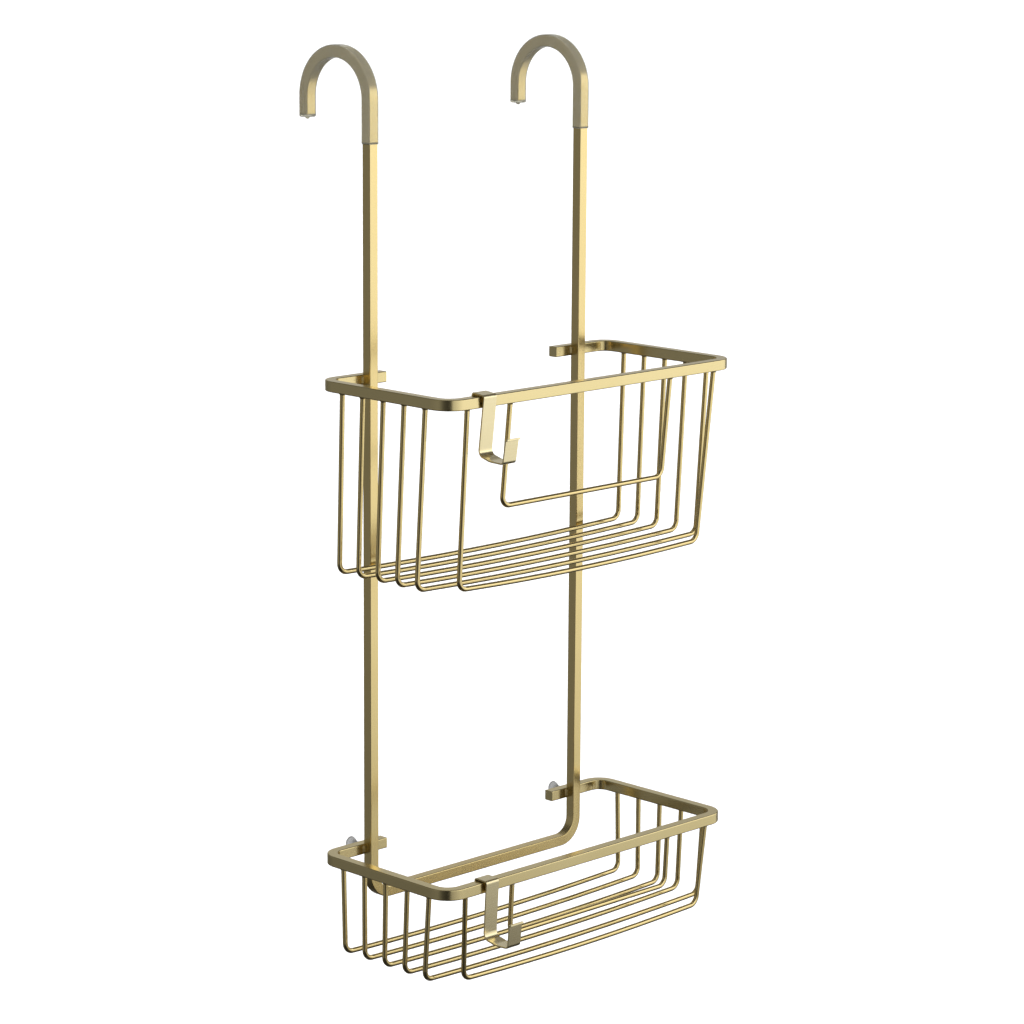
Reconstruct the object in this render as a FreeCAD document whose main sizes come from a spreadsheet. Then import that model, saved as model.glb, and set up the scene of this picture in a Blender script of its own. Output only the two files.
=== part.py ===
import FreeCAD, Part
import math
import os

import Sketcher

# A two-basket shower caddy that hangs over the top edge of a shower screen.
# X runs along the baskets, +Y points from the baskets to the screen, +Z is up.
# The origin is the seat: half way between the two hooks, on the inside of the sleeves' highest point.
# Every height below is counted down from the centre of the hooks' half circle, and every depth
# is counted from the centre line of the uprights, which stand at y = -hookRadius.

SIZES = {
    # square bar of the frame and of both rims
    "barSide": 8.0,
    "barRounding": 0.8,
    # frame: one bar, bent as a U with a hook at each end
    "uprightOffset": 108.0,
    "frameBend": 16.5,
    "frameDrop": 588.7,
    "hookRadius": 33.4,
    "hookTip": 14.0,
    # clear sleeve on each hook
    "sleeveWall": 0.75,
    "sleeveRounding": 1.6,
    "sleeveCap": 1.5,
    "sleeveDrop": 30.9,
    "sleeveNubRadius": 1.4,
    "sleeveNubLength": 1.5,
    # rims
    "rimHalfLength": 150.0,
    "rimReach": 125.0,
    "frontCorner": 14.0,
    "backCorner": 12.0,
    "returnEnd": 88.5,
    "upperRimDrop": 197.0,
    "lowerRimDrop": 549.7,
    # basket wires
    "wireDiameter": 3.8,
    "wireBend": 7.0,
    "wireBow": 2.4,
    "wireBite": 0.5,
    "sideWireOffset": 146.4,
    "frontWireOffset": 128.1,
    "frontWireFoot": 124.7,
    "guardWireOffset": 83.1,
    "upperGuardShift": -3.0,
    "lowerGuardShift": 2.2,
    "upperBasketDepth": 131.2,
    "lowerBasketDepth": 63.8,
    "upperGuardDepth": 75.6,
    "lowerGuardDepth": 39.0,
    "upperFirstWire": 12.4,
    "upperWirePitch": 21.4,
    "upperFirstFoot": 8.6,
    "upperFootPitch": 20.3,
    "lowerFirstWire": 11.9,
    "lowerWirePitch": 22.7,
    "lowerFirstFoot": 13.6,
    "lowerFootPitch": 21.2,
    "upperFrontLean": 11.2,
    "lowerFrontLean": 5.0,
    "upperGuardLean": 7.5,
    "lowerGuardLean": 2.0,
    # strip hooks on the front rims
    "stripWidth": 12.6,
    "stripThickness": 1.2,
    "stripPlay": 0.4,
    "stripGap": 2.0,
    "stripLip": 2.6,
    "stripDrop": 41.5,
    "stripBottom": 43.4,
    "stripReach": 26.0,
    "stripFrontHeight": 18.7,
    "stripFrontFlare": 1.0,
    "stripToeRise": 1.0,
    "stripCurl": 2.0,
    "stripFoldRadius": 1.6,
    "stripHeelRadius": 5.0,
    "stripToeRadius": 14.0,
    "stripFrontRadius": 2.5,
    "stripCurlRadius": 1.3,
    "stripRounding": 0.3,
    "stripSlant": 0.8,
    "upperStripPlace": 112.4,
    "lowerStripPlace": 107.5,
    "upperStripLean": 5.8,
    "lowerStripLean": 2.0,
    # suction cups behind the lower rim's returns
    "cupStemRadius": 3.0,
    "cupStemLength": 5.0,
    "cupRadius": 5.0,
    "cupDepth": 6.0,
    "cupWall": 1.0,
}
WIRES_PER_BASKET = 5

document = FreeCAD.newDocument("ShowerCaddy")
sheet = document.addObject("Spreadsheet::Sheet", "Sizes")
for row, (alias, size) in enumerate(SIZES.items(), start=1):
    sheet.set(f"A{row}", alias)
    sheet.set(f"B{row}", str(size))
    sheet.setAlias(f"B{row}", alias)
document.recompute()


def number(expression):
    """The value of an expression of the sheet's cells, as a plain number."""
    return float(sheet.evalExpression(expression))


def new_body(name):
    body = document.addObject("PartDesign::Body", name)
    body.Label = name
    return body


def new_sketch(body, name, role, offset=("0", "0", "0")):
    """An empty sketch on one of the body's own planes, moved by the offset in that plane's axes."""
    plane = next(feature for feature in body.Origin.OriginFeatures if feature.Role == role)
    sketch = body.newObject("Sketcher::SketchObject", name)
    sketch.AttachmentSupport = [(plane, "")]
    sketch.MapMode = "FlatFace"
    for axis, expression in zip("xyz", offset):
        sketch.setExpression(f"AttachmentOffset.Base.{axis}", expression)
    return sketch


def bind(sketch, constraint, expression):
    """Adds a dimension to a sketch and binds it to the sheet."""
    index = sketch.addConstraint(constraint)
    sketch.setExpression(f"Constraints[{index}]", expression)


def pin_point(sketch, geometry, position, place):
    """Holds a point at (x, y), each an expression."""
    for kind, axis, expression in zip(("DistanceX", "DistanceY"), (-2, -1), place):
        if abs(number(expression)) < 1e-9:
            sketch.addConstraint(Sketcher.Constraint("PointOnObject", geometry, position, axis))
        else:
            distance = Sketcher.Constraint(kind, -1, 1, geometry, position, number(expression))
            bind(sketch, distance, expression)


def draw_arc(sketch, centre, radius, first, last, anticlockwise):
    """An arc from first to last. Returns it and which of its ends lie at first and at last."""
    circle = Part.Circle(centre, FreeCAD.Vector(0, 0, 1), radius)
    begin, end = (first, last) if anticlockwise else (last, first)
    arc = sketch.addGeometry(Part.ArcOfCircle(circle, circle.parameter(begin), circle.parameter(end)))
    return (arc, 1, 2) if anticlockwise else (arc, 2, 1)


def draw_path(sketch, corners, bends):
    """Straight runs through the corners, rounded at each inner corner by an arc of its bend's radius."""
    points = [FreeCAD.Vector(number(x), number(y), 0) for x, y in corners]
    starts, ends, arcs = [points[0]], [], []
    for before, corner, after, bend in zip(points, points[1:], points[2:], bends):
        back = (before - corner).normalize()
        ahead = (after - corner).normalize()
        half = back.getAngle(ahead) / 2
        centre = corner + (back + ahead).normalize() * (number(bend) / math.sin(half))
        ends.append(corner + back * (number(bend) / math.tan(half)))
        starts.append(corner + ahead * (number(bend) / math.tan(half)))
        arcs.append((centre, back.cross(ahead).z < 0))
    ends.append(points[-1])
    runs = [sketch.addGeometry(Part.LineSegment(a, b)) for a, b in zip(starts, ends)]
    for place, (centre, left_turn) in enumerate(arcs):
        radius = number(bends[place])
        arc, near, far = draw_arc(sketch, centre, radius, ends[place], starts[place + 1], left_turn)
        sketch.addConstraint(Sketcher.Constraint("Tangent", runs[place], 2, arc, near))
        sketch.addConstraint(Sketcher.Constraint("Tangent", arc, far, runs[place + 1], 1))
        bind(sketch, Sketcher.Constraint("Radius", arc, radius), bends[place])
        corner = sketch.addGeometry(Part.Point(points[place + 1]), True)
        pin_point(sketch, corner, 1, corners[place + 1])
        sketch.addConstraint(Sketcher.Constraint("PointOnObject", corner, 1, runs[place]))
        sketch.addConstraint(Sketcher.Constraint("PointOnObject", corner, 1, runs[place + 1]))
    pin_point(sketch, runs[0], 1, corners[0])
    pin_point(sketch, runs[-1], 2, corners[-1])


def draw_arch(sketch, rise, tip):
    """The line of a hook: up from rise, over a half circle about the arch's centre, and down to tip."""
    radius, centre_z = number("Sizes.hookRadius"), number(ARCH_Z)
    left, right = FreeCAD.Vector(-radius, centre_z, 0), FreeCAD.Vector(radius, centre_z, 0)
    up = sketch.addGeometry(Part.LineSegment(FreeCAD.Vector(-radius, number(rise), 0), left))
    down = sketch.addGeometry(Part.LineSegment(right, FreeCAD.Vector(radius, number(tip), 0)))
    arc, near, far = draw_arc(sketch, FreeCAD.Vector(0, centre_z, 0), radius, left, right, False)
    sketch.addConstraint(Sketcher.Constraint("Tangent", up, 2, arc, near))
    sketch.addConstraint(Sketcher.Constraint("Tangent", arc, far, down, 1))
    sketch.addConstraint(Sketcher.Constraint("Vertical", up))
    sketch.addConstraint(Sketcher.Constraint("Vertical", down))
    bind(sketch, Sketcher.Constraint("Radius", arc, radius), "Sizes.hookRadius")
    pin_point(sketch, arc, 3, ("0", ARCH_Z))
    bind(sketch, Sketcher.Constraint("DistanceY", -1, 1, up, 1, number(rise)), rise)
    bind(sketch, Sketcher.Constraint("DistanceY", -1, 1, down, 2, number(tip)), tip)


def draw_section(sketch, width, height, rounding):
    """A rectangle about the sketch's origin, each corner rounded, anticlockwise from its right side."""
    half_x, half_y, radius = number(width) / 2, number(height) / 2, number(rounding)
    flat_x, flat_y = half_x - radius, half_y - radius
    sides = [
        ((half_x, -flat_y), (half_x, flat_y)),
        ((flat_x, half_y), (-flat_x, half_y)),
        ((-half_x, flat_y), (-half_x, -flat_y)),
        ((-flat_x, -half_y), (flat_x, -half_y)),
    ]
    centres = [(flat_x, flat_y), (-flat_x, flat_y), (-flat_x, -flat_y), (flat_x, -flat_y)]
    ends = [(FreeCAD.Vector(*first), FreeCAD.Vector(*last)) for first, last in sides]
    runs = [sketch.addGeometry(Part.LineSegment(*pair)) for pair in ends]
    arcs = []
    for side, centre in enumerate(centres):
        following = (side + 1) % 4
        middle = FreeCAD.Vector(*centre)
        arc, near, far = draw_arc(sketch, middle, radius, ends[side][1], ends[following][0], True)
        sketch.addConstraint(Sketcher.Constraint("Tangent", runs[side], 2, arc, near))
        sketch.addConstraint(Sketcher.Constraint("Tangent", arc, far, runs[following], 1))
        sketch.addConstraint(Sketcher.Constraint("Horizontal" if side % 2 else "Vertical", runs[side]))
        arcs.append(arc)
    for arc in arcs[1:]:
        sketch.addConstraint(Sketcher.Constraint("Equal", arcs[0], arc))
    bind(sketch, Sketcher.Constraint("Radius", arcs[0], radius), rounding)
    bind(sketch, Sketcher.Constraint("DistanceX", -1, 1, runs[0], 1, half_x), f"({width}) / 2")
    bind(sketch, Sketcher.Constraint("DistanceX", runs[2], 1, -1, 1, half_x), f"({width}) / 2")
    bind(sketch, Sketcher.Constraint("DistanceY", -1, 1, runs[1], 1, half_y), f"({height}) / 2")
    bind(sketch, Sketcher.Constraint("DistanceY", runs[3], 1, -1, 1, half_y), f"({height}) / 2")


def draw_circle(sketch, diameter):
    circle = Part.Circle(FreeCAD.Vector(0, 0, 0), FreeCAD.Vector(0, 0, 1), number(diameter) / 2)
    index = sketch.addGeometry(circle)
    sketch.addConstraint(Sketcher.Constraint("Coincident", index, 3, -1, 1))
    bind(sketch, Sketcher.Constraint("Diameter", index, number(diameter)), diameter)


def sweep(body, name, path, section, kind="PartDesign::AdditivePipe"):
    pipe = body.newObject(kind, name)
    pipe.Profile = section
    pipe.Spine = path
    pipe.Transition = "Transformed"
    document.recompute()
    return pipe


def turn_to(body, place, angle, axis=(1, 0, 0)):
    """Binds a body's Placement: its place, and its turn in degrees about an axis."""
    body.Placement = FreeCAD.Placement(FreeCAD.Vector(), FreeCAD.Rotation(FreeCAD.Vector(*axis), 1))
    for letter, expression in zip("xyz", place):
        body.setExpression(f"Placement.Base.{letter}", expression)
    body.setExpression("Placement.Rotation.Angle", angle)


BAR = ("Sizes.barSide", "Sizes.barSide", "Sizes.barRounding")
HALF_BAR = "Sizes.barSide / 2"
UPRIGHT_Y = "-Sizes.hookRadius"
BOW = "Sizes.wireBow"
ARCH_Z = "-(Sizes.hookRadius - Sizes.barSide / 2 - Sizes.sleeveWall)"
SIDES = {"left": "-1", "right": "1"}


def sweep_hook(body, name, side, section, rise, tip, kind="PartDesign::AdditivePipe"):
    """One hook's bar or sleeve, from rise below the arch's centre, over it, and down to tip below it."""
    x = f"{SIDES[side]} * Sizes.uprightOffset"
    bottom = f"{ARCH_Z} - {rise}"
    path = new_sketch(body, f"{name}_path", "YZ_Plane", ("0", "0", x))
    draw_arch(path, bottom, f"{ARCH_Z} - {tip}")
    outline = new_sketch(body, f"{name}_section", "XY_Plane", (x, UPRIGHT_Y, bottom))
    draw_section(outline, *section)
    return sweep(body, name, path, outline, kind)


def make_frame_bar():
    """One square bar: a U whose two uprights end in hooks that arch over to the back."""
    body = new_body("frame_bar")
    left, right = "-Sizes.uprightOffset", "Sizes.uprightOffset"
    top, bottom = f"{ARCH_Z} - Sizes.sleeveDrop", f"{ARCH_Z} - Sizes.frameDrop"
    path = new_sketch(body, "bow_path", "XZ_Plane", ("0", "0", "Sizes.hookRadius"))
    draw_path(path, [(left, top), (left, bottom), (right, bottom), (right, top)], ["Sizes.frameBend"] * 2)
    section = new_sketch(body, "bow_section", "XY_Plane", (left, UPRIGHT_Y, top))
    draw_section(section, *BAR)
    sweep(body, "bow", path, section)
    for side in SIDES:
        sweep_hook(body, f"hook_{side}", side, BAR, "Sizes.sleeveDrop", "Sizes.hookTip")
    return body


def make_hook_sleeve(side):
    """A soft clear sleeve over one hook, closed round the bar's tip, with the moulding's nub under it."""
    body = new_body(f"hook_sleeve_{side}")
    outer_side = "Sizes.barSide + 2 * Sizes.sleeveWall"
    outer = (outer_side, outer_side, "Sizes.sleeveRounding")
    closed_tip = "(Sizes.hookTip + Sizes.sleeveCap)"
    sweep_hook(body, "skin", side, outer, "Sizes.sleeveDrop", closed_tip)
    sweep_hook(body, "bore", side, BAR, "Sizes.sleeveDrop", "Sizes.hookTip", "PartDesign::SubtractivePipe")
    tip_z = f"{ARCH_Z} - {closed_tip}"
    x = f"{SIDES[side]} * Sizes.uprightOffset"
    outline = new_sketch(body, "nub_outline", "XY_Plane", (x, "Sizes.hookRadius", tip_z))
    draw_circle(outline, "2 * Sizes.sleeveNubRadius")
    nub = body.newObject("PartDesign::Pad", "nub")
    nub.Profile = outline
    nub.Reversed = True
    nub.setExpression("Length", "Sizes.sleeveNubLength")
    return body


def rim_bottom(basket):
    return f"({ARCH_Z} - Sizes.{basket}RimDrop - Sizes.barSide)"


def make_rim(basket):
    """A square bar bent round three sides, its ends returning behind the uprights."""
    body = new_body(f"{basket}_rim")
    side = f"(Sizes.rimHalfLength - {HALF_BAR})"
    front = f"-(Sizes.hookRadius + Sizes.rimReach - {HALF_BAR})"
    back = "-(Sizes.hookRadius - Sizes.barSide)"
    middle_z = f"{rim_bottom(basket)} + {HALF_BAR}"
    path = new_sketch(body, "rim_path", "XY_Plane", ("0", "0", middle_z))
    corners = [
        ("Sizes.returnEnd", back),
        (side, back),
        (side, front),
        (f"-{side}", front),
        (f"-{side}", back),
        ("-Sizes.returnEnd", back),
    ]
    bends = ["Sizes.backCorner", "Sizes.frontCorner", "Sizes.frontCorner", "Sizes.backCorner"]
    draw_path(path, corners, bends)
    section = new_sketch(body, "rim_section", "YZ_Plane", (back, middle_z, "Sizes.returnEnd"))
    draw_section(section, *BAR)
    sweep(body, "rim", path, section)
    return body


def make_wire(name, basket, half_top, half_foot, depth, place, lean, bow=None):
    """A U of round wire, welded under the rim at place, its foot set back by lean, its run bowed down."""
    body = new_body(name)
    bite = "Sizes.wireBite"
    corners = [(f"-{half_top}", bite), (f"-{half_foot}", f"-{depth}")]
    bends = ["Sizes.wireBend", "Sizes.wireBend"]
    if bow:
        corners.append(("0", f"-({depth} + 2 * {bow})"))
        bends.insert(1, f"({half_foot} - 2 * Sizes.wireBend) * {half_foot} / (2 * {bow})")
    corners += [(half_foot, f"-{depth}"), (half_top, bite)]
    path = new_sketch(body, "wire_path", "XZ_Plane")
    draw_path(path, corners, bends)
    section = new_sketch(body, "wire_section", "XY_Plane", (f"-{half_top}", "0", bite))
    draw_circle(section, "Sizes.wireDiameter")
    sweep(body, "wire", path, section)
    turn_to(body, (*place, rim_bottom(basket)), f"atan(({lean}) / {depth})")
    return body


def make_basket_wires(basket):
    depth = f"Sizes.{basket}BasketDepth"
    wires = []
    for count in range(WIRES_PER_BASKET):
        top = f"(Sizes.{basket}FirstWire + {count} * Sizes.{basket}WirePitch)"
        foot = f"(Sizes.{basket}FirstFoot + {count} * Sizes.{basket}FootPitch)"
        name = f"{basket}_wire_{count + 1}"
        offset = "Sizes.sideWireOffset"
        place = ("0", f"{UPRIGHT_Y} - {top}")
        wires.append(make_wire(name, basket, offset, offset, depth, place, f"{top} - {foot}", BOW))
    front = f"-(Sizes.hookRadius + Sizes.rimReach - {HALF_BAR})"
    guard = "Sizes.guardWireOffset"
    crosswise = {
        "front": ("Sizes.frontWireOffset", "Sizes.frontWireFoot", depth, "0", BOW),
        "guard": (guard, guard, f"Sizes.{basket}GuardDepth", f"Sizes.{basket}GuardShift", None),
    }
    for kind, (half_top, half_foot, drop, shift, bow) in crosswise.items():
        lean = f"Sizes.{basket}{kind.capitalize()}Lean"
        name = f"{basket}_{kind}_wire"
        wires.append(make_wire(name, basket, half_top, half_foot, drop, (shift, front), lean, bow))
    return wires


def make_strip_hook(basket):
    """A flat strip folded over the front rim: a short lip behind, a straight drop, and a broad hook."""
    body = new_body(f"{basket}_hook")
    half_strip = "Sizes.stripThickness / 2"
    behind = f"Sizes.barSide + Sizes.stripPlay + {half_strip}"
    over = f"Sizes.stripPlay + {half_strip}"
    face = f"-(Sizes.stripGap + {half_strip})"
    plate = "-Sizes.stripReach"
    plate_top = "Sizes.stripFrontHeight - Sizes.stripBottom"
    corners = [
        (behind, "-Sizes.stripLip"),
        (behind, over),
        (face, over),
        (f"Sizes.stripSlant {face}", "-Sizes.stripDrop"),
        ("-Sizes.stripReach / 2", "-Sizes.stripBottom"),
        (plate, "Sizes.stripToeRise - Sizes.stripBottom"),
        (f"{plate} - Sizes.stripFrontFlare", plate_top),
        (f"{plate} - Sizes.stripFrontFlare - Sizes.stripCurl", f"{plate_top} + Sizes.stripCurl / 8"),
    ]
    folds = ("Fold", "Fold", "Heel", "Toe", "Front", "Curl")
    bends = [f"Sizes.strip{fold}Radius" for fold in folds]
    path = new_sketch(body, "strip_path", "YZ_Plane")
    draw_path(path, corners, bends)
    section = new_sketch(body, "strip_section", "XY_Plane", ("0", behind, "-Sizes.stripLip"))
    draw_section(section, "Sizes.stripWidth", "Sizes.stripThickness", "Sizes.stripRounding")
    sweep(body, "strip", path, section)
    place = (
        f"-Sizes.{basket}StripPlace",
        "-(Sizes.hookRadius + Sizes.rimReach)",
        f"{rim_bottom(basket)} + Sizes.barSide",
    )
    turn_to(body, place, f"Sizes.{basket}StripLean")
    return body


def make_suction_cup(side):
    """A small clear cup behind a return of the lower rim: a stem that flares into a thin hollow cup."""
    body = new_body(f"suction_cup_{side}")
    cup_end = "Sizes.cupStemLength + Sizes.cupDepth"
    outline = [
        ("0", "0"),
        ("Sizes.cupStemRadius", "0"),
        ("Sizes.cupStemRadius", "Sizes.cupStemLength"),
        ("Sizes.cupRadius", cup_end),
        ("Sizes.cupRadius - Sizes.cupWall", cup_end),
        ("0", "Sizes.cupStemLength + Sizes.cupWall"),
    ]
    sketch = new_sketch(body, "cup_outline", "XZ_Plane")
    points = [FreeCAD.Vector(number(x), number(y), 0) for x, y in outline]
    for first, last in zip(points, points[1:] + points[:1]):
        sketch.addGeometry(Part.LineSegment(first, last))
    for index, place in enumerate(outline):
        previous = (index - 1) % len(outline)
        sketch.addConstraint(Sketcher.Constraint("Coincident", previous, 2, index, 1))
        pin_point(sketch, index, 1, place)
    cup = body.newObject("PartDesign::Revolution", "cup")
    cup.Profile = sketch
    cup.ReferenceAxis = (sketch, ["V_Axis"])
    cup.Angle = 360
    place = (
        f"{SIDES[side]} * Sizes.uprightOffset",
        f"{UPRIGHT_Y} + 1.5 * Sizes.barSide",
        f"{rim_bottom('lower')} + {HALF_BAR}",
    )
    turn_to(body, place, "-90")
    return body


def check(objects):
    """Stops unless every object was built and every sub-part is a valid solid."""
    broken = [o.Label for o in document.Objects if {"Invalid", "Error"} & set(o.State)]
    for part in objects:
        if part.Shape.isNull() or not part.Shape.isValid() or len(part.Shape.Solids) != 1:
            broken.append(part.Label)
    if broken:
        raise RuntimeError(f"these were not built: {sorted(set(broken))}")


def main():
    parts = [make_frame_bar()]
    parts += [make_hook_sleeve(side) for side in SIDES]
    for basket in ("upper", "lower"):
        parts.append(make_rim(basket))
        parts += make_basket_wires(basket)
        parts.append(make_strip_hook(basket))
    parts += [make_suction_cup(side) for side in SIDES]
    document.recompute()
    check(parts)
    os.makedirs("parts", exist_ok=True)
    for part in parts:
        part.Shape.exportStep(os.path.join("parts", f"{part.Label}.step"))
        box = part.Shape.BoundBox
        sides = f"y {box.YMin:7.1f} {box.YMax:7.1f}  z {box.ZMin:7.1f} {box.ZMax:7.1f}"
        print(f"{part.Label:20s} {part.Shape.Volume:9.1f} mm3  {sides}")


main()
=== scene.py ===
import math

import bmesh
import bpy
from mathutils import Matrix, Vector, noise


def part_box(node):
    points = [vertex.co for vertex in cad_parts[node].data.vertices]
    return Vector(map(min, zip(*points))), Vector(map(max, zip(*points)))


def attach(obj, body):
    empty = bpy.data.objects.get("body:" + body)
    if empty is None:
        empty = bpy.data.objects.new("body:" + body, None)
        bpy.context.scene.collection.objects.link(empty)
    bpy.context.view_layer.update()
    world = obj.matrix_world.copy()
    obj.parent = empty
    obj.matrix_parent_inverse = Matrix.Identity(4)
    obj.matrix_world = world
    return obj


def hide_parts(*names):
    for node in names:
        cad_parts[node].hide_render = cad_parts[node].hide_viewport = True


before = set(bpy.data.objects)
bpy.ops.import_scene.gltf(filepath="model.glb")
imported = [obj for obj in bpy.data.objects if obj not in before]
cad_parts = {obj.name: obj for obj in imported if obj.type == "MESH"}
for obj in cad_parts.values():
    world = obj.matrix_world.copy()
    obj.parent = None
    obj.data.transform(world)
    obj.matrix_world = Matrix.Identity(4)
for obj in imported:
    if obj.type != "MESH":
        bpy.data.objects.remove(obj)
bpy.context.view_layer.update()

# The frame is in metres: X along the baskets, +Y from the baskets over the screen, +Z up.
# The origin is the seat between the two hooks. Sizes below are in metres unless they say millimetres.

MM = 0.001

# sizes that repeat the CAD model's
BAR_SIDE = 8.0 * MM
UPRIGHT_OFFSET = 108 * MM
HOOK_RADIUS = 33.4 * MM
SLEEVE_WALL = 0.75 * MM
SLEEVE_ROUNDING = 1.6 * MM
ARCH_Z = -(HOOK_RADIUS - BAR_SIDE / 2 - SLEEVE_WALL)
HOOK_TIP_Z = ARCH_Z - 14 * MM
SLEEVE_END_Z = ARCH_Z - 30.9 * MM
SLEEVE_TIP_Z = HOOK_TIP_Z - 1.5 * MM
SIDES = {"left": -1, "right": 1}
BASKETS = ("upper", "lower")

# where the drawn lines change direction, past a bend
CROSS_BAR_Z = -606 * MM
RIM_END_X = 138 * MM
WIRE_LEG_X = 141 * MM

# the sleeve's play over the bar, the rounding of its tip, its rolled lip, and how deep its bend wrinkles
SLEEVE_PLAY = 0.08 * MM
SLEEVE_TIP_ROUNDING = 1.15 * MM
SLEEVE_LIP = 0.3 * MM
SLEEVE_WRINKLE = 0.22 * MM

# ---------------------------------------------------------------- materials

GOLD = (0.84, 0.68, 0.325)
GOLD_WARM = (0.82, 0.65, 0.30)
GOLD_RIM = (0.82, 0.69, 0.36)
GOLD_RIM_WARM = (0.80, 0.665, 0.335)
GOLD_STRIP = (0.90, 0.78, 0.46)
GOLD_STRIP_PALE = (0.94, 0.83, 0.52)
GOLD_BRAZE = (0.68, 0.56, 0.31)
SLEEVE_TINT = (0.975, 0.94, 0.74)
SLEEVE_PALE = (0.985, 0.96, 0.80)
CUP_TINT = (0.96, 0.96, 0.95)
CUP_PALE = (0.98, 0.98, 0.97)

# roughness, from the smoothest to the roughest part of each finish
BAR_ROUGHNESS = (0.19, 0.25)
WIRE_ROUGHNESS = (0.08, 0.12)
STRIP_ROUGHNESS = (0.22, 0.27)
BRAZE_ROUGHNESS = (0.3, 0.5)
PLASTIC_ROUGHNESS_SPREAD = 0.06

# how far the fine lines, the brazing metal's pits and the plastic's orange peel stand up
LINE_HEIGHT = 0.004 * MM
PIT_HEIGHT = 0.08 * MM
PEEL_HEIGHT = 0.02 * MM


class Surface:
    """A node material with a Principled shader, and short ways to add and link its nodes."""

    def __init__(self, name, **constants):
        self.material = bpy.data.materials.new(name)
        self.material.use_nodes = True
        self.tree = self.material.node_tree
        self.shader = self.tree.nodes["Principled BSDF"]
        for socket, value in constants.items():
            self.shader.inputs[socket.replace("_", " ")].default_value = value
        self.place = self.add("TexCoord").outputs["Object"]

    def add(self, kind, links=None, values=None, **settings):
        node = self.tree.nodes.new("ShaderNode" + kind)
        for name, value in settings.items():
            setattr(node, name, value)
        for socket, value in (values or {}).items():
            node.inputs[socket].default_value = value
        for socket, source in (links or {}).items():
            self.tree.links.new(source, node.inputs[socket])
        return node

    def grain(self, stretch, detail=3.0):
        """Noise from 0 to 1 whose cells are 1 / stretch metres long along each axis."""
        scaled = self.add("Mapping", {"Vector": self.place}, {"Scale": stretch})
        cells = self.add("TexNoise", {"Vector": scaled.outputs[0]}, {"Scale": 1.0, "Detail": detail})
        return cells.outputs["Fac"]

    def beyond(self, axis, limit, blend, mirrored=False):
        """1 where a coordinate is beyond the limit, 0 on the near side, smooth over the blend's width."""
        value = self.add("SeparateXYZ", {"Vector": self.place}).outputs[axis]
        if mirrored:
            value = self.add("Math", {0: value}, operation="ABSOLUTE").outputs[0]
        bounds = {"From Min": limit - blend / 2, "From Max": limit + blend / 2}
        ramp = self.add("MapRange", {"Value": value}, bounds, interpolation_type="SMOOTHSTEP")
        return ramp.outputs["Result"]

    def choose(self, amount, low, high):
        """Low where amount is 0 and high where it is 1."""
        mixed = self.add("Mix", {"Factor": amount, "A": low, "B": high})
        return mixed.outputs["Result"]

    def between(self, amount, low, high):
        """Amount from 0.3 to 0.7 carried to low to high."""
        bounds = {"From Min": 0.3, "From Max": 0.7, "To Min": low, "To Max": high}
        return self.add("MapRange", {"Value": amount}, bounds).outputs["Result"]

    def tint(self, amount, first, second):
        """The base colour, from the first colour to the second by amount."""
        blend = self.add("Mix", {"Factor": amount}, data_type="RGBA")
        colours = [socket for socket in blend.inputs if socket.type == "RGBA"]
        for socket, colour in zip(colours, (first, second)):
            socket.default_value = (*colour, 1)
        result = next(socket for socket in blend.outputs if socket.type == "RGBA")
        self.link("Base Color", result)

    def emboss(self, height, distance, strength):
        bump = self.add("Bump", {"Height": height}, {"Distance": distance, "Strength": strength})
        self.link("Normal", bump.outputs["Normal"])

    def link(self, socket, source):
        self.tree.links.new(source, self.shader.inputs[socket])


ALONG_X = (60, 4200, 4200)
ALONG_Y = (4200, 60, 4200)
ALONG_Z = (4200, 4200, 60)


def finish_gold(surface, lines, first, second, roughness):
    """Drawn and plated metal: fine lines of changing gloss, and a colour that drifts slowly."""
    cloud = surface.grain((14, 14, 14), 2.0)
    surface.tint(surface.between(cloud, 0, 1), first, second)
    surface.link("Roughness", surface.between(lines, *roughness))
    surface.emboss(lines, LINE_HEIGHT, 0.06)


def make_gold_bar():
    """Square bar: lines along the uprights, and along the cross bar at the bottom of the frame."""
    surface = Surface("gold_bar", Metallic=1.0, Specular_IOR_Level=0.5)
    low_bar = surface.beyond("Z", CROSS_BAR_Z, 8 * MM)
    lines = surface.choose(low_bar, surface.grain(ALONG_X), surface.grain(ALONG_Z))
    finish_gold(surface, lines, GOLD, GOLD_WARM, BAR_ROUGHNESS)
    return surface.material


def make_gold_rim():
    """Square bar of the rims: lines along the front and the returns, and along both ends."""
    surface = Surface("gold_rim", Metallic=1.0, Specular_IOR_Level=0.5)
    ends = surface.beyond("X", RIM_END_X, 8 * MM, mirrored=True)
    lines = surface.choose(ends, surface.grain(ALONG_X), surface.grain(ALONG_Y))
    finish_gold(surface, lines, GOLD_RIM, GOLD_RIM_WARM, BAR_ROUGHNESS)
    return surface.material


def make_gold_wire():
    """Round wire, glossier than the bars, with faint drawing marks along its run and its legs."""
    surface = Surface("gold_wire", Metallic=1.0, Specular_IOR_Level=0.5)
    legs = surface.beyond("X", WIRE_LEG_X, 6 * MM, mirrored=True)
    lines = surface.choose(legs, surface.grain(ALONG_X), surface.grain(ALONG_Z))
    finish_gold(surface, lines, GOLD, GOLD_WARM, WIRE_ROUGHNESS)
    return surface.material


def make_gold_strip():
    """Flat strip with brushing across its width."""
    surface = Surface("gold_strip", Metallic=1.0, Specular_IOR_Level=0.5)
    lines = surface.grain((25, 2400, 2400), 4.0)
    surface.tint(surface.between(lines, 0, 1), GOLD_STRIP, GOLD_STRIP_PALE)
    surface.link("Roughness", surface.between(lines, *STRIP_ROUGHNESS))
    surface.emboss(lines, LINE_HEIGHT, 0.05)
    return surface.material


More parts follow.
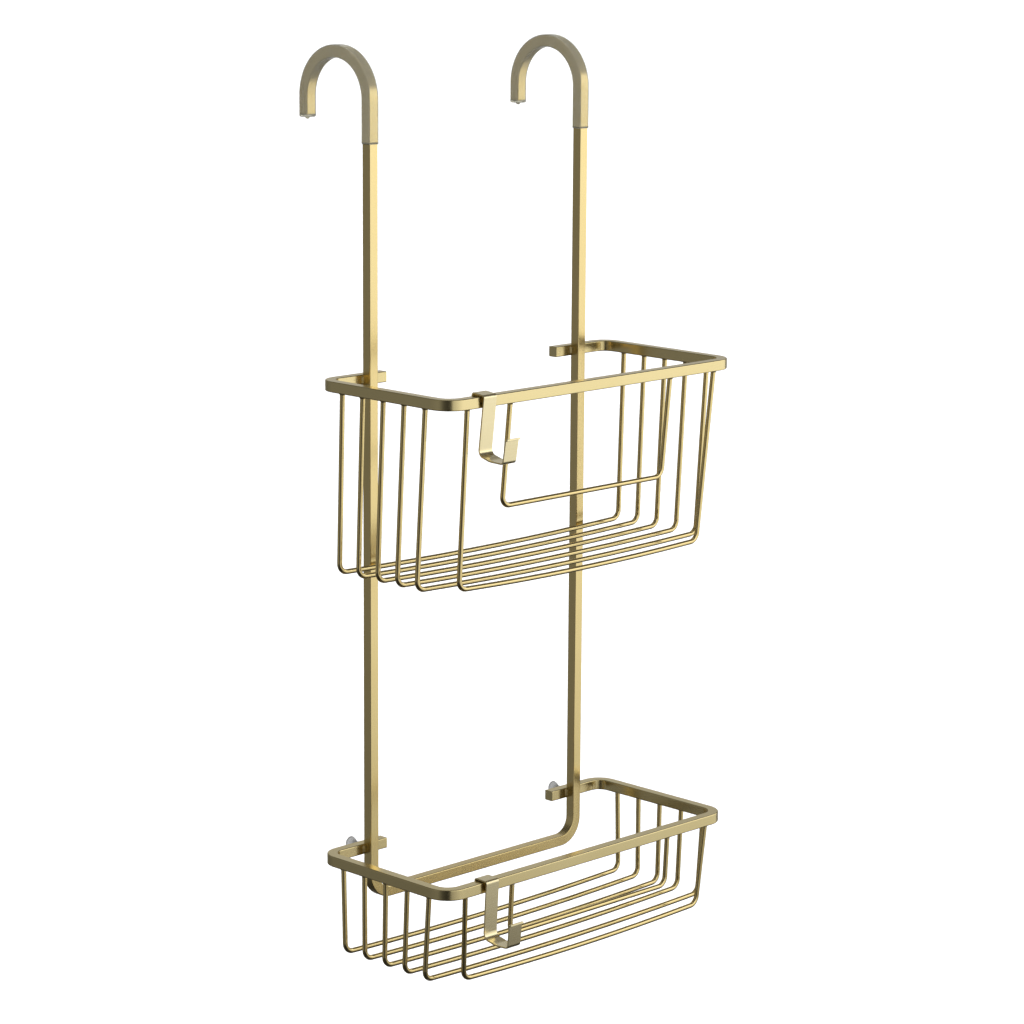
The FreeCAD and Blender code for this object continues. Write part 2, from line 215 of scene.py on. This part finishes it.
def make_braze():
    """Brazing metal: duller and browner than the plated bar, and a little pitted."""
    surface = Surface("gold_braze", Metallic=1.0, Specular_IOR_Level=0.5)
    pits = surface.grain((1400, 1400, 1400), 4.0)
    surface.tint(surface.between(pits, 0, 1), GOLD_BRAZE, GOLD_WARM)
    surface.link("Roughness", surface.between(pits, *BRAZE_ROUGHNESS))
    surface.emboss(pits, PIT_HEIGHT, 0.5)
    return surface.material


def make_soft_plastic(name, colour, second, clear, rough):
    """Clear, slightly cloudy soft plastic with a faint orange-peel surface."""
    surface = Surface(name, Transmission_Weight=clear, IOR=1.42)
    cloud = surface.grain((160, 160, 160), 3.0)
    surface.tint(surface.between(cloud, 0, 1), colour, second)
    peel = surface.grain((450, 450, 150), 2.0)
    surface.link("Roughness", surface.between(peel, rough, rough + PLASTIC_ROUGHNESS_SPREAD))
    surface.emboss(peel, PEEL_HEIGHT, 0.2)
    return surface.material


# ---------------------------------------------------------------- meshes


def join_rings(mesh, rings, closed=True):
    """Quads between rings of equal length. A ring of one point closes the surface there."""
    for near, far in zip(rings, rings[1:]):
        count = max(len(near), len(far))
        for step in range(count if closed else count - 1):
            following = (step + 1) % count
            corners = [near[step % len(near)], near[following % len(near)]]
            corners += [far[following % len(far)], far[step % len(far)]]
            unique = list(dict.fromkeys(corners))
            if len(unique) > 2:
                mesh.faces.new(unique)


def add_ring(mesh, points):
    return [mesh.verts.new(point) for point in points]


def finish_piece(mesh, name, body, material):
    """A smooth-shaded object from a bmesh, riding on a body."""
    bmesh.ops.recalc_face_normals(mesh, faces=mesh.faces)
    data = bpy.data.meshes.new(name)
    mesh.to_mesh(data)
    mesh.free()
    data.polygons.foreach_set("use_smooth", [True] * len(data.polygons))
    data.materials.append(material)
    piece = bpy.data.objects.new(name, data)
    bpy.context.scene.collection.objects.link(piece)
    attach(piece, body)
    return piece


def rounded_square(half, rounding, steps=6):
    """Points round a square with rounded corners, anticlockwise, each side given three middle points."""
    points = []
    flat = half - rounding
    for quarter in range(4):
        centre = Vector((flat, flat))
        turn = Matrix.Rotation(quarter * math.pi / 2, 2)
        for step in range(steps + 1):
            angle = step / steps * math.pi / 2
            points.append(turn @ (centre + Vector((math.cos(angle), math.sin(angle))) * rounding))
        points += [turn @ Vector((flat * place, half)) for place in (0.5, 0.0, -0.5)]
    return points


def turned(mesh, profile, centre, axis, steps=28, wobble=0.0, seed=0.0):
    """A surface turned about an axis from (distance, radius) pairs, its radius uneven by the wobble."""
    frame_turn = Vector((0, 0, 1)).rotation_difference(Vector(axis)).to_matrix()
    rings = []
    for distance, radius in profile:
        if radius <= 0:
            rings.append(add_ring(mesh, [centre + frame_turn @ Vector((0, 0, distance))]))
            continue
        ring = []
        for step in range(steps):
            angle = 2 * math.pi * step / steps
            around = Vector((math.cos(angle), math.sin(angle), 0))
            uneven = noise.noise(around * 1.7 + Vector((seed, seed * 0.37, 0)))
            point = around * radius * (1 + wobble * uneven) + Vector((0, 0, distance))
            ring.append(centre + frame_turn @ point)
        rings.append(add_ring(mesh, ring))
    join_rings(mesh, rings)


# ---------------------------------------------------------------- clear sleeves on the hooks


def hook_stations(tip_z, end_z, steps_straight=14, steps_arc=56):
    """(point, outward direction, share of the arc) along a hook from the sleeve's open end to its tip."""
    stations = []
    for step in range(steps_straight):
        z = end_z + (ARCH_Z - end_z) * step / steps_straight
        stations.append((Vector((0, -HOOK_RADIUS, z)), Vector((0, -1, 0)), 0.0))
    for step in range(steps_arc + 1):
        angle = math.pi * step / steps_arc
        outward = Vector((0, -math.cos(angle), math.sin(angle)))
        stations.append((Vector((0, 0, ARCH_Z)) + outward * HOOK_RADIUS, outward, math.sin(angle)))
    for step in range(1, 9):
        z = ARCH_Z + (tip_z - ARCH_Z) * step / 8
        stations.append((Vector((0, HOOK_RADIUS, z)), Vector((0, 1, 0)), 0.0))
    return stations


def sleeve_ring(station, x, half, rounding, crinkle, seed):
    """One ring of the sleeve: a rounded square that sinks a little where the bend wrinkles it."""
    point, outward, bend = station
    ring = []
    for across, out in rounded_square(half, rounding):
        inner_side = max(0.0, -out / half)
        sample = Vector((across * 700, point.y * 420, point.z * 420 + seed))
        sink = crinkle * bend * inner_side * (0.5 + 0.5 * noise.noise(sample))
        ring.append(point + Vector((x + across, 0, 0)) + outward * (out + sink))
    return ring


def make_sleeve(side, material):
    """A clear sleeve: a real wall, a rolled open end, wrinkles in the bend and a closed, nubbed tip."""
    x = SIDES[side] * UPRIGHT_OFFSET
    seed = 3.0 * SIDES[side]
    mesh = bmesh.new()
    outer = BAR_SIDE / 2 + SLEEVE_WALL
    inner = BAR_SIDE / 2 + SLEEVE_PLAY
    corner = SLEEVE_TIP_ROUNDING
    down = Vector((0, 0, -1))
    rings = []

    inside = hook_stations(HOOK_TIP_Z - 0.1 * MM, SLEEVE_END_Z)
    rings.append([inside[-1][0] + Vector((x, 0, 0))])
    rings += [sleeve_ring(station, x, inner, 0.9 * MM, 0.0, seed) for station in reversed(inside)]

    outside = hook_stations(SLEEVE_TIP_Z + corner, SLEEVE_END_Z + SLEEVE_LIP)
    lip = (Vector((0, -HOOK_RADIUS, SLEEVE_END_Z)), Vector((0, -1, 0)), 0.0)
    rings.append(sleeve_ring(lip, x, outer - SLEEVE_LIP, SLEEVE_ROUNDING - SLEEVE_LIP, 0.0, seed))
    rings += [sleeve_ring(place, x, outer, SLEEVE_ROUNDING, SLEEVE_WRINKLE, seed) for place in outside]
    for step in range(1, 6):
        angle = step / 5 * math.pi / 2
        shrink = corner * (1 - math.cos(angle))
        place = outside[-1][0] + down * corner * math.sin(angle)
        station = (place, Vector((0, 1, 0)), 0.0)
        rings.append(sleeve_ring(station, x, outer - shrink, SLEEVE_ROUNDING - shrink * 0.6, 0.0, seed))
    rings.append([Vector((x, HOOK_RADIUS, SLEEVE_TIP_Z - 0.02 * MM))])
    join_rings(mesh, [add_ring(mesh, ring) for ring in rings])

    nub = [(-0.3, 2.4), (0.0, 2.2), (0.25, 1.65), (0.8, 1.35), (1.2, 0.95), (1.42, 0.45), (1.46, 0)]
    profile = [(distance * MM, radius * MM) for distance, radius in nub]
    turned(mesh, profile, Vector((x, HOOK_RADIUS, SLEEVE_TIP_Z)), (0, 0, -1), wobble=0.25, seed=seed)
    piece = finish_piece(mesh, f"sleeve_{side}", "caddy", material)
    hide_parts(f"hook_sleeve_{side}")
    return piece


# ---------------------------------------------------------------- suction cups


def make_cup(side, material):
    """A soft cup behind the lower rim: a foot, a neck, and a thin lip flaring towards the screen."""
    low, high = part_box(f"suction_cup_{side}")
    centre = Vector(((low.x + high.x) / 2, low.y, (low.z + high.z) / 2))
    depth = (high.y - low.y) / MM
    lip = (high.z - low.z) / 2 / MM
    profile = [
        (0.0, 0), (0.0, 3.3), (0.4, 3.5), (0.9, 3.4), (1.3, 2.9), (3.6, 2.6), (4.8, 2.35),
        (5.6, 2.5), (6.6, 3.1), (8.2, 3.95), (9.8, 4.6), (depth - 0.15, lip - 0.05), (depth, lip - 0.15),
        (depth - 0.1, lip - 0.35), (9.4, 4.0), (8.0, 3.1), (7.0, 2.0), (6.6, 0.9), (6.5, 0),
    ]
    scaled = [(distance * MM, radius * MM) for distance, radius in profile]
    mesh = bmesh.new()
    turned(mesh, scaled, centre, (0, 1, 0), steps=40)
    piece = finish_piece(mesh, f"cup_{side}", "caddy", material)
    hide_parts(f"suction_cup_{side}")
    return piece


# ---------------------------------------------------------------- brazed joints


def leg_tops(node):
    """The centre of each leg's end, where a U wire meets its rim."""
    vertices = [vertex.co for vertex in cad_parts[node].data.vertices]
    top = max(point.z for point in vertices)
    ends = [point for point in vertices if point.z > top - 1.0 * MM]
    centres = []
    for sign in (-1, 1):
        near = [point for point in ends if point.x * sign > 0]
        middle = [(min(p[axis] for p in near) + max(p[axis] for p in near)) / 2 for axis in (0, 1)]
        centres.append(Vector((*middle, top)))
    return centres


def make_wire_brazes(basket, material):
    """A small concave fillet of brazing metal round every wire where it meets the rim's underside."""
    mesh = bmesh.new()
    rim_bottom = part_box(f"{basket}_rim")[0].z
    curve = [(0.0, 2.95), (0.15, 2.6), (0.4, 2.25), (0.75, 2.02), (1.2, 1.9)]
    profile = [(0.0, 1.5 * MM)] + [(distance * MM, radius * MM) for distance, radius in curve]
    wires = [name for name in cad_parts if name.startswith(basket) and "_wire" in name]
    for count, wire in enumerate(sorted(wires)):
        for centre in leg_tops(wire):
            place = Vector((centre.x, centre.y, rim_bottom))
            turned(mesh, profile, place, (0, 0, -1), wobble=0.12, seed=count + centre.x * 40)
    return finish_piece(mesh, f"{basket}_wire_brazes", "caddy", material)


def make_upright_brazes(basket, material, steps=8):
    """Fillets in the grooves where the rim's returns cross behind the uprights."""
    outline = [(-0.3, 0.0), (-0.3, -0.75), (0.28, -0.8), (0.45, -0.4), (0.75, -0.14), (1.1, 0.0)]
    mesh = bmesh.new()
    low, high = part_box(f"{basket}_rim")
    face_y = high.y - BAR_SIDE
    for sign in (-1, 1):
        for edge in (-1, 1):
            x = sign * UPRIGHT_OFFSET + edge * (BAR_SIDE / 2 - 0.5 * MM)
            rings = []
            for step in range(steps + 1):
                z = low.z + 1.0 * MM + (high.z - low.z - 2.0 * MM) * step / steps
                size = (1.7 + 0.25 * noise.noise(Vector((x * 90, z * 900, edge)))) * MM
                size *= 0.55 if step in (0, steps) else 1.0
                ring = []
                for across, back in outline:
                    ring.append(Vector((x + edge * across * size, face_y + back * size, z)))
                rings.append(add_ring(mesh, ring))
            join_rings(mesh, rings)
            mesh.faces.new(rings[0])
            mesh.faces.new(rings[-1])
    return finish_piece(mesh, f"{basket}_upright_brazes", "caddy", material)


# ---------------------------------------------------------------- studio

CAMERA_PLACE = Vector((-1689.4, -1759.7, 143.0)) * MM
CAMERA_AZIMUTH = -45.01
CAMERA_ELEVATION = 11.34
CAMERA_ROLL = 0.385
CAMERA_LENS = 115.2
FLOOR_Z = -1.05
FLOOR_REACH = 120


def make_camera():
    """The camera, by its place, its heading, how far it looks down, and a very small roll."""
    azimuth, elevation, roll = (math.radians(a) for a in (CAMERA_AZIMUTH, CAMERA_ELEVATION, CAMERA_ROLL))
    level = Vector((-math.sin(azimuth), math.cos(azimuth), 0))
    forward = level * math.cos(elevation) - Vector((0, 0, math.sin(elevation)))
    right = forward.cross(Vector((0, 0, 1))).normalized()
    up = right.cross(forward)
    rolled = right * math.cos(roll) + up * math.sin(roll)
    columns = Matrix((rolled, rolled.cross(forward), -forward)).transposed()
    data = bpy.data.cameras.new("camera")
    data.sensor_width = 36
    data.lens = CAMERA_LENS
    data.clip_start = 0.05
    data.clip_end = 400
    camera = bpy.data.objects.new("camera", data)
    camera.matrix_world = Matrix.Translation(CAMERA_PLACE) @ columns.to_4x4()
    bpy.context.scene.collection.objects.link(camera)
    bpy.context.scene.camera = camera


def make_floor():
    """A plain pale floor that bright metal doesn't mirror."""
    data = bpy.data.meshes.new("floor")
    signs = ((-1, -1), (1, -1), (1, 1), (-1, 1))
    corners = [(x * FLOOR_REACH, y * FLOOR_REACH, FLOOR_Z) for x, y in signs]
    data.from_pydata(corners, [], [(0, 1, 2, 3)])
    surface = Surface("pale_floor", Roughness=0.9)
    surface.tint(surface.between(surface.grain((3, 3, 3)), 0, 1), (0.92, 0.92, 0.92), (0.94, 0.94, 0.94))
    data.materials.append(surface.material)
    floor = bpy.data.objects.new("floor", data)
    floor.visible_glossy = False
    floor.visible_transmission = False
    bpy.context.scene.collection.objects.link(floor)


# The room that the metal mirrors, as stops of (place, brightness). The turn runs anticlockwise seen from
# above: from the caddy's back right over its back left, front left and front right, to its back right
# again. The height runs from straight down to straight up.
TURN_STOPS = [
    (0.0, 0.5), (0.05, 0.3), (0.13, 0.13), (0.25, 0.195), (0.375, 0.24), (0.44, 0.07),
    (0.5, 0.03), (0.6, 0.2), (0.9, 0.2), (0.96, 0.3), (1.0, 0.5),
]
HEIGHT_STOPS = [
    (0.0, 0.15), (0.25, 0.3), (0.38, 1.0), (0.7, 1.0), (0.8, 0.5), (0.9, 0.6), (0.96, 1.5), (1.0, 1.5),
]
ROOM_STRENGTH = 1.0
ROOM_FRONT = -135

# the soft light from overhead: its strength, its tilt towards the baskets' side, and how wide it is
SUN_STRENGTH = 4.4
SUN_TILT = 20
SUN_WIDTH = 120

# The tall curved panel of light before the caddy's front, for the metal to mirror. Its turns are degrees
# from the room's front, and its stops are as the room's, with the height from its foot to its top.
PANEL_DISTANCE = 1.3
PANEL_TURNS = (13, 125)
PANEL_HEIGHTS = (-1.8, 0.42)
PANEL_TURN_STOPS = [(0.5, 0.5), (0.56, 0.6), (0.66, 1.0), (0.85, 1.0)]
PANEL_HEIGHT_STOPS = [
    (0.0, 0.03), (0.24, 0.08), (0.31, 0.4), (0.37, 0.62), (0.47, 0.9), (0.62, 1.08),
    (0.74, 1.2), (0.84, 1.5), (0.94, 1.5), (1.0, 0.2),
]


def shader_node(tree, kind, links, **settings):
    """A node of a kind, with its settings, its inputs linked from the given sockets."""
    node = tree.nodes.new("ShaderNode" + kind)
    for name, value in settings.items():
        setattr(node, name, value)
    for socket, source in links.items():
        tree.links.new(source, node.inputs[socket])
    return node


def ramp_node(tree, source, low, high, stops):
    """A grey ramp of (place, brightness) stops, its places running from low to high."""
    spread = shader_node(tree, "MapRange", {"Value": source})
    spread.inputs["From Min"].default_value = low
    spread.inputs["From Max"].default_value = high
    ramp = shader_node(tree, "ValToRGB", {"Fac": spread.outputs["Result"]})
    elements = ramp.color_ramp.elements
    while len(elements) < len(stops):
        elements.new(0.5)
    for element, (place, grey) in zip(elements, stops):
        element.position = place
        element.color = (grey, grey, grey, 1)
    return ramp.outputs["Color"]


def room_light(tree, place, turn_stops, height_stops, low, high):
    """Brightness by the turn about the vertical, measured from the room's front, and by the height."""
    turned_room = shader_node(tree, "VectorRotate", {"Vector": place}, rotation_type="Z_AXIS")
    turned_room.inputs["Angle"].default_value = math.radians(-ROOM_FRONT)
    parts = shader_node(tree, "SeparateXYZ", {0: turned_room.outputs[0]})
    turn = shader_node(tree, "Math", {0: parts.outputs["Y"], 1: parts.outputs["X"]}, operation="ARCTAN2")
    sideways = ramp_node(tree, turn.outputs[0], -math.pi, math.pi, turn_stops)
    upwards = ramp_node(tree, parts.outputs["Z"], low, high, height_stops)
    product = shader_node(tree, "VectorMath", {0: sideways, 1: upwards}, operation="MULTIPLY")
    return product.outputs["Vector"]


def make_world():
    """A room of soft light for the metal to mirror, and white where the camera looks past the floor."""
    world = bpy.data.worlds.new("studio")
    world.use_nodes = True
    tree = world.node_tree
    tree.nodes.clear()
    direction = tree.nodes.new("ShaderNodeTexCoord").outputs["Generated"]
    light = room_light(tree, direction, TURN_STOPS, HEIGHT_STOPS, -1, 1)
    room = shader_node(tree, "Background", {"Color": light})
    room.inputs["Strength"].default_value = ROOM_STRENGTH
    white = tree.nodes.new("ShaderNodeBackground")
    white.inputs["Color"].default_value = (1, 1, 1, 1)
    seen = tree.nodes.new("ShaderNodeLightPath").outputs["Is Camera Ray"]
    choice = shader_node(tree, "MixShader", {0: seen, 1: room.outputs[0], 2: white.outputs[0]})
    shader_node(tree, "OutputWorld", {"Surface": choice.outputs[0]})
    bpy.context.scene.world = world


def make_panel(steps=28):
    """A tall curved panel of light, dimmer towards the floor, which only the metal and plastic see."""
    mesh = bmesh.new()
    rows = []
    for height in PANEL_HEIGHTS:
        row = []
        for step in range(steps + 1):
            turn = PANEL_TURNS[0] + (PANEL_TURNS[1] - PANEL_TURNS[0]) * step / steps
            heading = math.radians(ROOM_FRONT + turn)
            outward = Vector((math.cos(heading), math.sin(heading), 0))
            row.append(outward * PANEL_DISTANCE + Vector((0, 0, height)))
        rows.append(add_ring(mesh, row))
    join_rings(mesh, rows, closed=False)
    data = bpy.data.meshes.new("light_panel")
    mesh.to_mesh(data)
    mesh.free()
    material = bpy.data.materials.new("light_panel")
    material.use_nodes = True
    tree = material.node_tree
    tree.nodes.clear()
    place = tree.nodes.new("ShaderNodeTexCoord").outputs["Object"]
    glow = room_light(tree, place, PANEL_TURN_STOPS, PANEL_HEIGHT_STOPS, *PANEL_HEIGHTS)
    light = shader_node(tree, "Emission", {"Color": glow})
    shader_node(tree, "OutputMaterial", {"Surface": light.outputs[0]})
    data.materials.append(material)
    panel = bpy.data.objects.new("light_panel", data)
    panel.visible_camera = False
    panel.visible_diffuse = False
    panel.visible_shadow = False
    bpy.context.scene.collection.objects.link(panel)


def make_sun():
    """A very soft light from overhead and the baskets' side, for the floor and the plastic."""
    data = bpy.data.lights.new("soft_sky", "SUN")
    data.energy = SUN_STRENGTH
    data.angle = math.radians(SUN_WIDTH)
    sun = bpy.data.objects.new("soft_sky", data)
    sun.rotation_euler.x = math.radians(SUN_TILT)
    sun.visible_glossy = False
    sun.visible_transmission = False
    bpy.context.scene.collection.objects.link(sun)


# ---------------------------------------------------------------- the caddy

gold_bar = make_gold_bar()
gold_rim = make_gold_rim()
gold_wire = make_gold_wire()
gold_strip = make_gold_strip()
braze = make_braze()
clear_sleeve = make_soft_plastic("clear_sleeve", SLEEVE_TINT, SLEEVE_PALE, 0.87, 0.05)
clear_cup = make_soft_plastic("clear_cup", CUP_TINT, CUP_PALE, 0.92, 0.08)


def node_finish(name):
    """Which metal a CAD node is finished in."""
    if name.endswith("_rim"):
        return gold_rim
    if "_wire" in name:
        return gold_wire
    if name in ("upper_hook", "lower_hook"):
        return gold_strip
    return gold_bar


for name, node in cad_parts.items():
    node.data.materials.clear()
    node.data.materials.append(node_finish(name))

for side in SIDES:
    make_sleeve(side, clear_sleeve)
    make_cup(side, clear_cup)
for basket in BASKETS:
    make_wire_brazes(basket, braze)
    make_upright_brazes(basket, braze)

make_camera()
make_floor()
make_world()
make_panel()
make_sun()
bpy.context.scene.view_settings.view_transform = "Standard"
